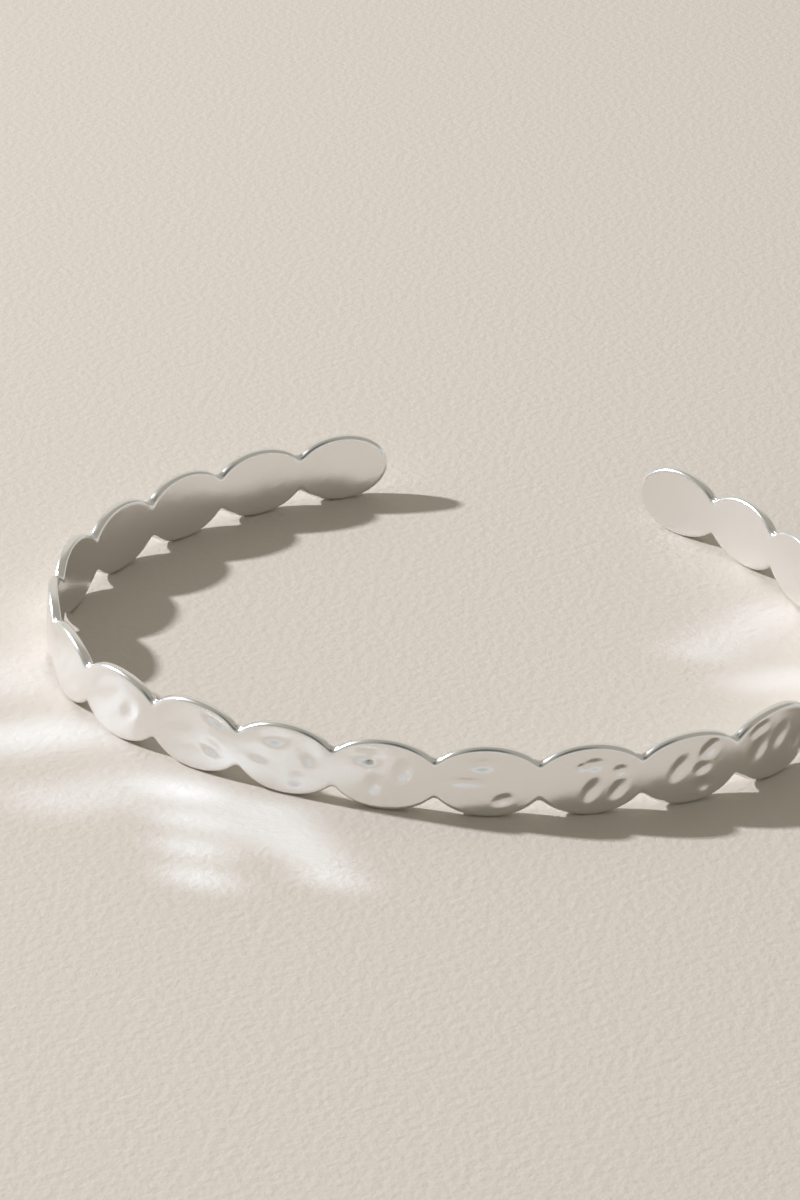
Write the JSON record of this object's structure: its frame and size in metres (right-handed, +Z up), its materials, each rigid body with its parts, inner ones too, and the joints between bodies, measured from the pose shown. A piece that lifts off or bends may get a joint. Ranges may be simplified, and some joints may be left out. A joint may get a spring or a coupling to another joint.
{
  "type": "cuff bracelet",
  "caption": "Open silver cuff bracelet: a thin strip of overlapping ovals with a hammered outer face, bent to a C with rounded tips.",
  "frame": {"origin": "under the middle of the outline's box, on the plane that the bracelet lies on", "axes": "+X across the bracelet's width, +Y from its front to the gap between its tips, +Z up along the wrist's way through"},
  "size_m": [0.0614, 0.0514, 0.0056],
  "materials": {
    "silver": "polished silver, hammered on the outer face"
  },
  "bodies": {
    "root": {"cuff_band": "silver"}
  },
  "joints": []
}
